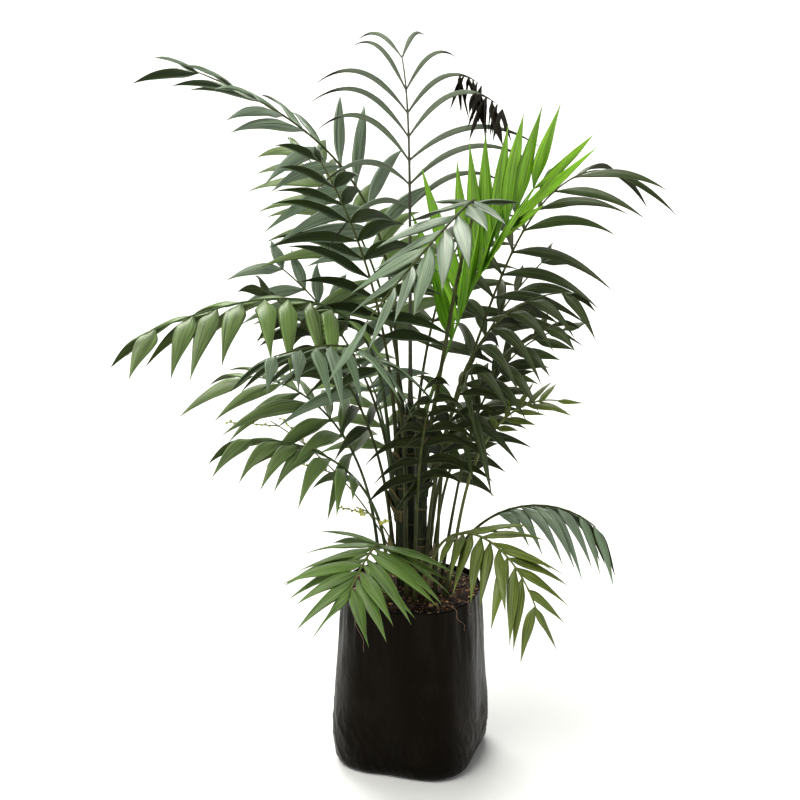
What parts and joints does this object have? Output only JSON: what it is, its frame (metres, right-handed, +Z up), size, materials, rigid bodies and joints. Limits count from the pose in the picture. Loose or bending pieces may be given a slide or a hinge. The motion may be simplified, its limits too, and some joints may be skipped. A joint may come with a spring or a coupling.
{
  "type": "potted palm",
  "caption": "Parlour palm clump with arching feather fronds, ringed canes and small flower sprays, standing in potting mix in a soft black film grow bag.",
  "frame": {"origin": "centre of the grow bag's flat base, on the surface it stands on", "axes": "+Z up along the canes, -Y towards the front as pictured, +X to the right"},
  "size_m": [0.6778, 0.6962, 0.9266],
  "materials": {
    "film": "glossy creased film",
    "potting_mix": "loose moist crumbs with bark and husk chips",
    "cane": "satin, ringed with leaf scars",
    "leaf_dark": "waxy satin",
    "leaf_mid": "waxy satin",
    "leaf_silver": "waxy satin with a pale bloom",
    "leaf_bright": "waxy satin",
    "leaf_olive": "waxy satin",
    "leaf_young": "soft satin",
    "flower": "matte"
  },
  "bodies": {
    "root": {"grow_bag": "film", "soil": "potting_mix", "cane_left": "cane", "cane_right": "cane", "cane_back": "cane", "flower_spray_outer": "flower", "flower_spray_inner": "flower", "frond_high_left": "leaf_silver", "frond_left_arch": "leaf_mid", "frond_high_right": "leaf_dark", "frond_young": "leaf_young", "frond_right_hanging": "leaf_dark", "frond_silver_front": "leaf_silver", "frond_top": "leaf_dark", "frond_low_left": "leaf_mid", "frond_lowest_left": "leaf_mid", "frond_right_upright": "leaf_dark", "frond_right_small": "leaf_olive", "frond_skirt_left": "leaf_bright", "frond_skirt_front": "leaf_olive", "frond_skirt_right": "leaf_silver", "frond_inner_left": "leaf_silver", "frond_left_glossy": "leaf_silver", "frond_back_left": "leaf_silver", "frond_mid_left": "leaf_dark", "frond_mid_right": "leaf_dark", "frond_centre_front": "leaf_dark", "frond_inner_right": "leaf_dark", "frond_right_arching": "leaf_dark", "frond_back_high": "leaf_mid", "frond_back_right": "leaf_dark", "frond_back_low": "leaf_mid", "frond_back_low_right": "leaf_dark"}
  },
  "joints": []
}
